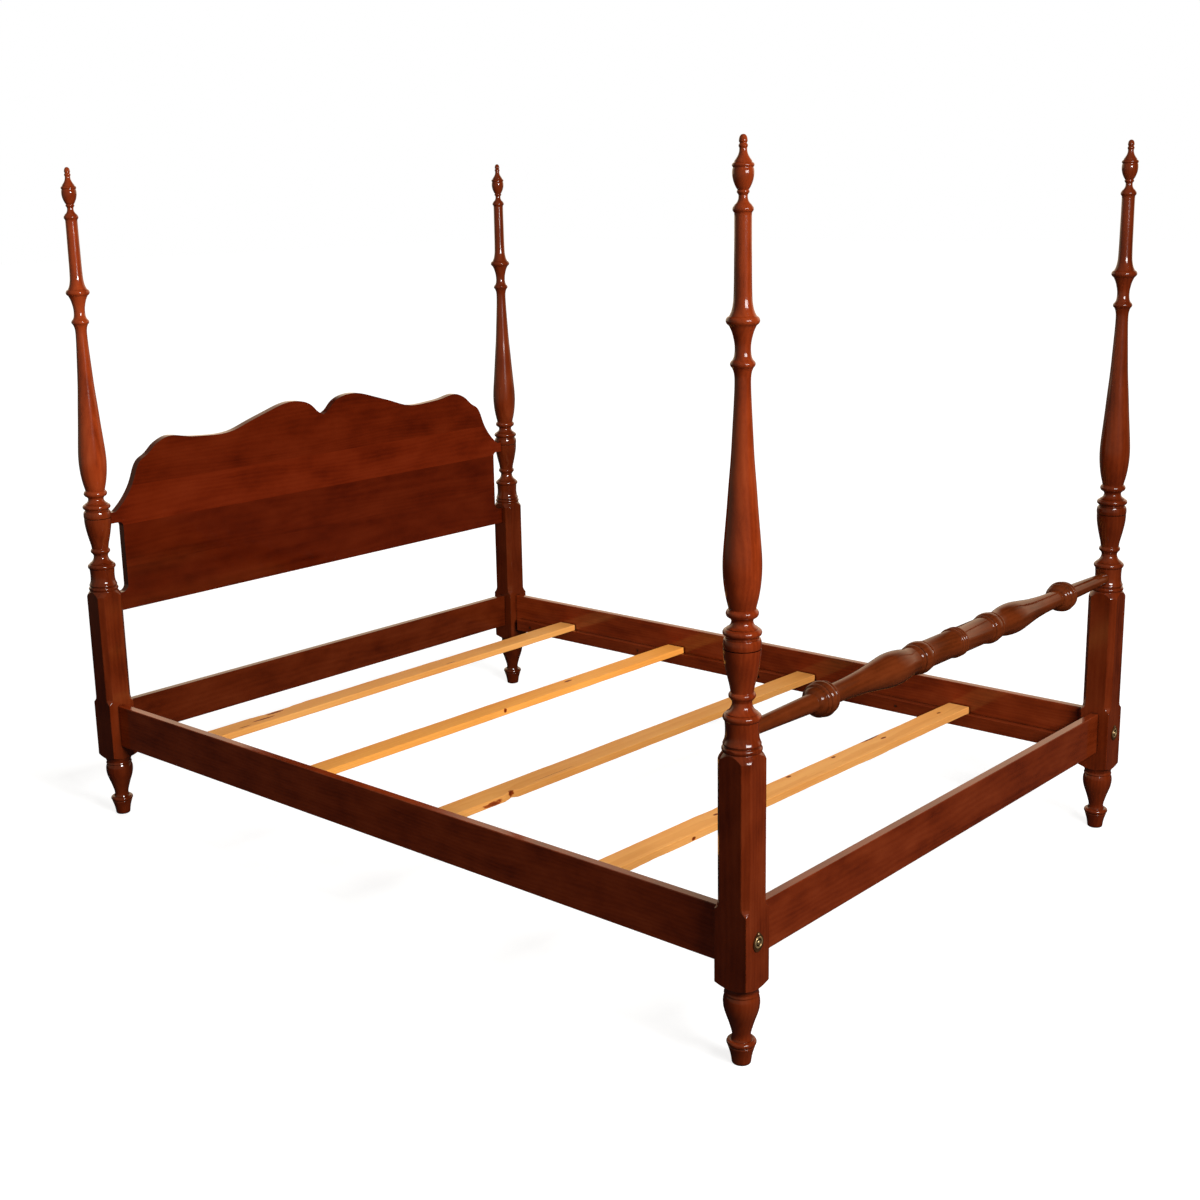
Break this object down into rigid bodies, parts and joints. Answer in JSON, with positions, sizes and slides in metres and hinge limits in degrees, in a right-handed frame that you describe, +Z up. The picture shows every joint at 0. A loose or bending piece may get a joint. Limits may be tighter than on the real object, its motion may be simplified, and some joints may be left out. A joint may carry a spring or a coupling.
{
  "type": "four-poster bed",
  "caption": "Turned-post bed with a scalloped headboard, a turned blanket roll, side rails with loose slats and hanging bolt covers.",
  "frame": {"origin": "on the floor under the middle of the bed", "axes": "+X across the bed, +Y from the foot to the head, +Z up"},
  "size_m": [1.677, 2.2424, 1.778],
  "materials": {
    "cherry_lacquer": "red-brown stain under semi-gloss lacquer",
    "pine": "planed, oiled pine with knots",
    "aged_brass": "aged, softly polished",
    "steel": "plain zinc-grey hardware"
  },
  "bodies": {
    "frame": {"barrel_nuts": "steel", "bed_bolts": "steel", "blanket_roll": "cherry_lacquer", "bolt_washers": "steel", "cover_pins": "aged_brass", "finial_pins": "steel", "foot_left_lower_post": "cherry_lacquer", "foot_left_upper_post": "cherry_lacquer", "foot_rail": "cherry_lacquer", "foot_right_lower_post": "cherry_lacquer", "foot_right_upper_post": "cherry_lacquer", "head_left_lower_post": "cherry_lacquer", "head_left_upper_post": "cherry_lacquer", "head_rail": "cherry_lacquer", "head_right_lower_post": "cherry_lacquer", "head_right_upper_post": "cherry_lacquer", "headboard_bottom_board": "cherry_lacquer", "headboard_crest_board": "cherry_lacquer", "headboard_lower_board": "cherry_lacquer", "headboard_upper_board": "cherry_lacquer", "left_cleat": "cherry_lacquer", "left_cleat_screws": "steel", "left_side_rail": "cherry_lacquer", "right_cleat": "cherry_lacquer", "right_cleat_screws": "steel", "right_side_rail": "cherry_lacquer"},
    "foot_left_finial_body": {"foot_left_finial": "cherry_lacquer"},
    "foot_left_cover_body": {"foot_left_bolt_cover": "aged_brass"},
    "foot_right_finial_body": {"foot_right_finial": "cherry_lacquer"},
    "foot_right_cover_body": {"foot_right_bolt_cover": "aged_brass"},
    "head_left_finial_body": {"head_left_finial": "cherry_lacquer"},
    "head_left_cover_body": {"head_left_bolt_cover": "aged_brass"},
    "head_right_finial_body": {"head_right_finial": "cherry_lacquer"},
    "head_right_cover_body": {"head_right_bolt_cover": "aged_brass"},
    "slat_1_body": {"slat_1": "pine"},
    "slat_2_body": {"slat_2": "pine"},
    "slat_3_body": {"slat_3": "pine"},
    "slat_4_body": {"slat_4": "pine"}
  },
  "joints": [
    {"name": "foot_left_finial_lift", "type": "slide", "parent": "frame", "child": "foot_left_finial_body", "axis": [0, 0, 1], "range_m": [0, 0.05]},
    {"name": "foot_right_finial_lift", "type": "slide", "parent": "frame", "child": "foot_right_finial_body", "axis": [0, 0, 1], "range_m": [0, 0.05]},
    {"name": "head_left_finial_lift", "type": "slide", "parent": "frame", "child": "head_left_finial_body", "axis": [0, 0, 1], "range_m": [0, 0.05]},
    {"name": "head_right_finial_lift", "type": "slide", "parent": "frame", "child": "head_right_finial_body", "axis": [0, 0, 1], "range_m": [0, 0.05]},
    {"name": "foot_left_cover_swing", "type": "hinge", "parent": "frame", "child": "foot_left_cover_body", "pos_m": [-0.8, -1.1165, 0.2853], "axis": [0, 1, 0], "continuous": true},
    {"name": "foot_right_cover_swing", "type": "hinge", "parent": "frame", "child": "foot_right_cover_body", "pos_m": [0.8, -1.1165, 0.2853], "axis": [0, 1, 0], "continuous": true},
    {"name": "head_left_cover_swing", "type": "hinge", "parent": "frame", "child": "head_left_cover_body", "pos_m": [-0.8, 1.1165, 0.2853], "axis": [0, 1, 0], "continuous": true},
    {"name": "head_right_cover_swing", "type": "hinge", "parent": "frame", "child": "head_right_cover_body", "pos_m": [0.8, 1.1165, 0.2853], "axis": [0, 1, 0], "continuous": true},
    {"name": "slat_1_lift", "type": "slide", "parent": "frame", "child": "slat_1_body", "axis": [0, 0, 1], "range_m": [0, 0.15]},
    {"name": "slat_2_lift", "type": "slide", "parent": "frame", "child": "slat_2_body", "axis": [0, 0, 1], "range_m": [0, 0.15]},
    {"name": "slat_3_lift", "type": "slide", "parent": "frame", "child": "slat_3_body", "axis": [0, 0, 1], "range_m": [0, 0.15]},
    {"name": "slat_4_lift", "type": "slide", "parent": "frame", "child": "slat_4_body", "axis": [0, 0, 1], "range_m": [0, 0.15]}
  ]
}
